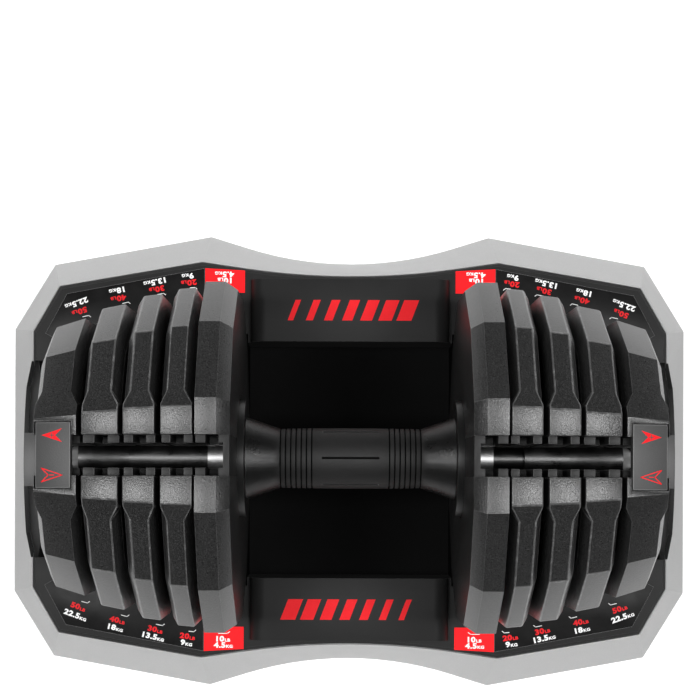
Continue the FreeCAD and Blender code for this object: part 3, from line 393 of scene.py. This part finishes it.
def paint_groove_shade_and_slot_light(piece):
    """The grip's ring grooves and top slot are painted black as shade; the floors of its other slots are painted
    pale as a highlight.
    """
    piece.data.materials.append(GROOVE_PAINTED_SHADE)
    piece.data.materials.append(SLOT_PAINTED_LIGHT)
    for face in piece.data.polygons:
        along = abs(face.center.x)
        radius = Vector((0, face.center.y, face.center.z - AXIS_HEIGHT)).length
        in_ring = RINGS_FROM < along < RINGS_TO and radius < GROOVE_RADIUS
        in_slot = along < RINGS_FROM and SLOT_INNER_RADIUS < radius < GROOVE_RADIUS
        if in_ring or in_slot and abs(face.center.y) < TOP_SLOT_HALF:
            face.material_index = 1
        elif in_slot:
            face.material_index = 2


paint_well_shade_and_tongue_light(surfaces["tray_insert"])
edge_notches(surfaces["tray_skirt"])
paint_groove_shade_and_slot_light(surfaces["grip_sleeve"])


# ---------------------------------------------------------------- printing

INK = 0.06 * MM
MARK_HEIGHT = 3.7 * MM
BRACKET_LINE = 0.45 * MM
ARROW_LINE = 0.5 * MM
PLUS_LINE = 0.45 * MM
UNIT_SIZE = 0.55
BOLDNESS = 0.045
LETTER_SPACING = 1.08
WIDENING = 1.22


def prism(mesh, outline, surface):
    """A thin print of the outline, lying on the surface, whose height at x is surface(x)."""
    low = [mesh.verts.new((x, y, surface(x) - INK / 2)) for x, y in outline]
    high = [mesh.verts.new((x, y, surface(x) + INK)) for x, y in outline]
    mesh.faces.new(reversed(low))
    mesh.faces.new(high)
    for number in range(len(outline)):
        following = (number + 1) % len(outline)
        mesh.faces.new((low[number], low[following], high[following], high[number]))


def stroke(mesh, points, width, surface):
    """A line of the given width through the points."""
    for start, end in zip(points, points[1:]):
        along = (Vector(end) - Vector(start)).normalized() * width / 2
        across = Vector((-along.y, along.x))
        first, last = Vector(start) - along, Vector(end) + along
        prism(mesh, [first - across, last - across, last + across, first + across], surface)


def glyphs(words, height):
    """Bold, wide characters of the given height as a mesh, with its width."""
    data = bpy.data.curves.new("glyphs", "FONT")
    data.body = words
    data.size = height
    data.offset = BOLDNESS * height
    data.space_character = LETTER_SPACING
    data.extrude = INK / 2
    data.resolution_u = 3
    thing = bpy.data.objects.new("glyphs", data)
    mesh = bpy.data.meshes.new_from_object(thing)
    bpy.data.objects.remove(thing)
    low, high = ([pick(vertex.co[axis] for vertex in mesh.vertices) for axis in (0, 1)]
                 for pick in (min, max))
    grow = height / (high[1] - low[1])
    widen = WIDENING * grow
    mesh.transform(Matrix.Diagonal((widen, grow, 1, 1)) @ Matrix.Translation((-low[0], -low[1], 0)))
    return mesh, widen * (high[0] - low[0])


def weight_mark(mesh, number, unit, height, place, angle, level):
    """A number with a small unit after it, centred at place."""
    gap = 0.35 * MM
    (first, first_width), (second, second_width) = glyphs(number, height), glyphs(unit, UNIT_SIZE * height)
    left = -(first_width + gap + second_width) / 2
    turn = Matrix.Translation((*place, level + INK / 2)) @ Matrix.Rotation(angle, 4, "Z")
    for part, shift in ((first, left), (second, left + first_width + gap)):
        part.transform(turn @ Matrix.Translation((shift, -height / 2, 0)))
        mesh.from_mesh(part)
        bpy.data.meshes.remove(part)


# number, unit, x and distance from the middle line in millimetres, angle of the text in degrees:
# pounds, then kilograms, from the inside out
MARKS = (
    ("10", "LB", 80.5, 114.7, 0), ("4.5", "KG", 80.5, 118.7, 0),
    ("20", "LB", 103.4, 113.2, 8), ("9", "KG", 104.1, 117.4, 8),
    ("30", "LB", 124.0, 108.9, 13), ("13.5", "KG", 125.3, 113.5, 13),
    ("40", "LB", 148.4, 103.0, 13), ("18", "KG", 149.5, 107.9, 13),
    ("50", "LB", 173.4, 94.5, 20), ("22.5", "KG", 175.3, 99.8, 20),
)
# where each plate's bracket starts, bends and ends, in millimetres
BRACKETS = (
    ((76.4, 110.2), (78.1, 111.3), (83.5, 111.3)),
    ((98.2, 109.3), (99.4, 110.3), (102.5, 110.0)),
    ((118.3, 105.5), (119.5, 106.4), (123.4, 105.6)),
    ((141.0, 99.8), (142.2, 100.7), (145.8, 99.8)),
    ((166.3, 91.2), (167.5, 92.1), (171.2, 91.2)),
)


def label_print():
    """Weights and brackets on the labels; the back ones are read from behind the tray."""
    white, red = bmesh.new(), bmesh.new()
    for end in (-1, 1):
        for side in (-1, 1):
            for number, unit, x, y, slope in MARKS:
                in_red = unit == "LB" and number != "10"
                angle = math.radians(-slope * side * end) + (math.pi if end > 0 else 0)
                weight_mark(red if in_red else white, number, unit, MARK_HEIGHT,
                            (side * x * MM, end * y * MM), angle, LABEL_LEVEL)
            for points in BRACKETS:
                stroke(white, [(side * x * MM, end * y * MM) for x, y in points], BRACKET_LINE,
                       lambda x: LABEL_LEVEL)
    node = "weight_label_front_right"
    finish_piece(new_piece("label_print_white", white), node, WHITE_INK)
    finish_piece(new_piece("label_print_red", red), node, RED_INK)


def panel_bars():
    """A row of slanting red bars on each panel."""
    mesh = bmesh.new()
    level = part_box("tray_insert")[1][2]
    middle_y, height, lean, pitch = 95 * MM, 13 * MM, 5 * MM, 12.5 * MM
    widths = [9.5, 8.5, 7.5, 6.5, 5.5, 4.5, 3.5]
    for end in (-1, 1):
        for number, width in enumerate(widths):
            left = (number - len(widths) / 2) * pitch
            corners = [(left, -height / 2), (left + width * MM, -height / 2),
                       (left + width * MM + lean, height / 2), (left + lean, height / 2)]
            turned = [(-end * x, -end * y + end * middle_y) for x, y in corners]
            prism(mesh, turned, lambda x: level)
    bmesh.ops.recalc_face_normals(mesh, faces=mesh.faces)
    finish_piece(new_piece("panel_bars", mesh), "tray_insert", RED_INK)


def cap_arrows(side, sign):
    """A solid arrowhead that points outwards, with a plus, and an open one inwards, with a minus."""
    node = "end_cap_" + side
    points = [vertex.co for vertex in frame["nodes"][node].data.vertices]
    low_x, high_x = min(point.x for point in points), max(point.x for point in points)
    tops = [max(point.z for point in points if abs(point.x - x) < 0.1 * MM) for x in (low_x, high_x)]

    def surface(x):
        return tops[0] + (tops[1] - tops[0]) * (x - low_x) / (high_x - low_x)

    red, dark = bmesh.new(), bmesh.new()
    start, end, notch, half = 159.4 * MM, 171.4 * MM, 4.0 * MM, 3.8 * MM
    row = 11 * MM
    solid = [(end, row), (start, row + half), (start + notch, row), (start, row - half)]
    prism(red, [(sign * x, y) for x, y in solid], surface)
    hollow = [(start, -row), (end, half - row), (end - notch, -row), (end, -half - row), (start, -row)]
    stroke(red, [(sign * x, y) for x, y in hollow], ARROW_LINE, surface)
    middle = sign * (start + end) / 2
    arm = 1.1 * MM
    stroke(red, [(middle - arm, -row), (middle + arm, -row)], ARROW_LINE, surface)
    for along in ((arm, 0), (0, arm)):
        ends = [(middle - along[0], row - along[1]), (middle + along[0], row + along[1])]
        stroke(dark, ends, PLUS_LINE, lambda x: surface(x) + INK)
    for mesh in (red, dark):
        bmesh.ops.recalc_face_normals(mesh, faces=mesh.faces)
    finish_piece(new_piece("cap_arrows_" + side, red), node, RED_INK)
    finish_piece(new_piece("cap_plus_" + side, dark), node, MATERIALS["cap_plastic"])


label_print()
panel_bars()
for side, sign in SIDES:
    cap_arrows(side, sign)


# ---------------------------------------------------------------- studio

def floor():
    mesh = bmesh.new()
    bmesh.ops.create_grid(mesh, x_segments=1, y_segments=1, size=4)
    piece = new_piece("studio_floor", mesh)
    shader = Shader("floor", Roughness=0.6)
    shader.set("Base Color", shader.mix(shader.noise(0.5), grey(0.90), grey(0.92)))
    shader.surface.inputs["Emission Color"].default_value = grey(1.0)
    shader.surface.inputs["Emission Strength"].default_value = 0.20
    piece.data.materials.append(shader.material)


def softbox(name, place, aim, size, power, mirrored=True):
    """A rectangular lamp; a lamp that isn't mirrored lights things without showing in their gloss."""
    data = bpy.data.lights.new(name, "AREA")
    data.shape = "RECTANGLE"
    data.size, data.size_y = size
    data.energy = power
    lamp = bpy.data.objects.new(name, data)
    lamp.location = place
    lamp.visible_glossy = mirrored
    lamp.rotation_euler = (Vector(aim) - Vector(place)).to_track_quat("-Z", "Y").to_euler()
    bpy.context.scene.collection.objects.link(lamp)


def camera():
    """Looks straight down on the handle, from a little in front and to the left of it."""
    above = 0.970
    turn = math.radians(0.22)
    width_seen = 0.420
    data = bpy.data.cameras.new("camera")
    data.sensor_width = 36
    data.lens = data.sensor_width * above / width_seen
    data.shift_x = 0.0174
    data.shift_y = 0.1921
    eye = bpy.data.objects.new("camera", data)
    eye.location = (-0.0075, -0.0156, AXIS_HEIGHT + above)
    eye.rotation_euler = (0, 0, turn)
    bpy.context.scene.collection.objects.link(eye)
    bpy.context.scene.camera = eye


floor()
softbox("key", (0, -0.02, 1.75), (0, 0, AXIS_HEIGHT), (1.2, 0.42), 9)
for side, sign in SIDES:
    softbox("key_" + side, (0.78 * sign, -0.02, 1.75), (0.1 * sign, 0, AXIS_HEIGHT), (0.34, 0.42), 12)
    softbox("key_end_" + side, (1.12 * sign, -0.02, 1.70), (0.1 * sign, 0, AXIS_HEIGHT), (0.30, 0.42), 5)
softbox("back_fill", (0, 1.7, 0.65), (0, 0, 0.05), (2.2, 0.5), 16, mirrored=False)
softbox("front_fill", (0, -1.7, 0.60), (0, 0, 0.05), (2.2, 0.5), 12, mirrored=False)
camera()
world = bpy.data.worlds.new("studio")
world.use_nodes = True
world.node_tree.nodes["Background"].inputs["Color"].default_value = grey(1.0)
world.node_tree.nodes["Background"].inputs["Strength"].default_value = 0.05
bpy.context.scene.world = world
bpy.context.scene.view_settings.view_transform = "Standard"
